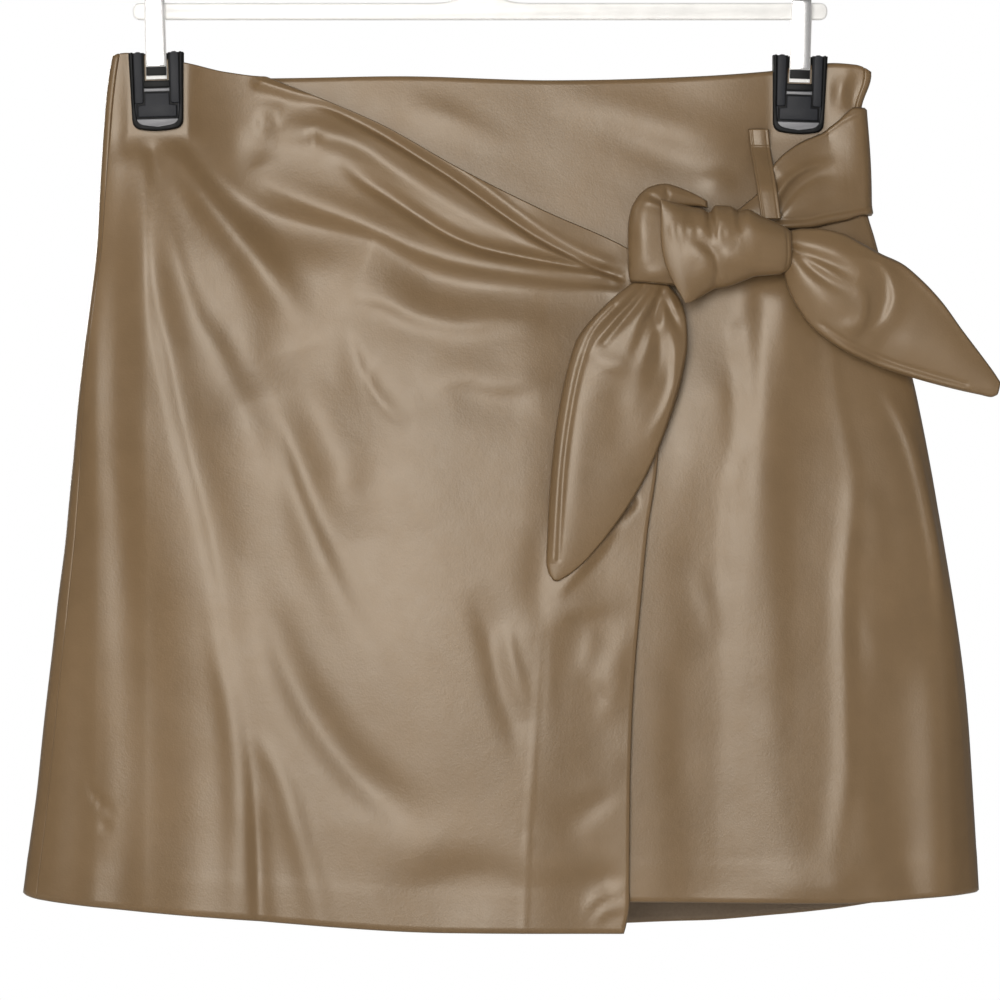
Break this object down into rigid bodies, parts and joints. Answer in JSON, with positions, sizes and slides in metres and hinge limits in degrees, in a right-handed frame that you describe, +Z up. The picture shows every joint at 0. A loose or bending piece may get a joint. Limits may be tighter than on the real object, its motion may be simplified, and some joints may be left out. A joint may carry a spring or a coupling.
{
  "type": "leather mini skirt on a clip hanger",
  "caption": "Faux-leather mini skirt with a wrapped front and a knotted side tie, hanging by its waist from a clip hanger.",
  "frame": {"origin": "the inner top of the hook, where a rail carries the hanger", "axes": "+Z up along the hanging skirt, -Y out of its front, +X to the right as seen from the front"},
  "size_m": [0.4851, 0.0826, 0.5247],
  "materials": {
    "leatherette": "tan faux leather, soft semi-gloss with a fine grain",
    "clip_plastic": "moulded black, glossy rails and satin boss",
    "spring_steel": "bright bent strip",
    "hanger_plastic": "white moulded, satin"
  },
  "bodies": {
    "root": {"back_panel": "leatherette", "front_under_panel": "leatherette", "front_wrap_panel": "leatherette", "sash": "leatherette", "belt_loop": "leatherette", "knot_loop": "leatherette", "knot_body": "leatherette", "tail_down": "leatherette", "tail_side": "leatherette", "hanger": "hanger_plastic", "clip_left_front_jaw": "clip_plastic", "clip_left_back_jaw": "clip_plastic", "clip_left_spring": "spring_steel", "clip_right_front_jaw": "clip_plastic", "clip_right_back_jaw": "clip_plastic", "clip_right_spring": "spring_steel"}
  },
  "joints": []
}
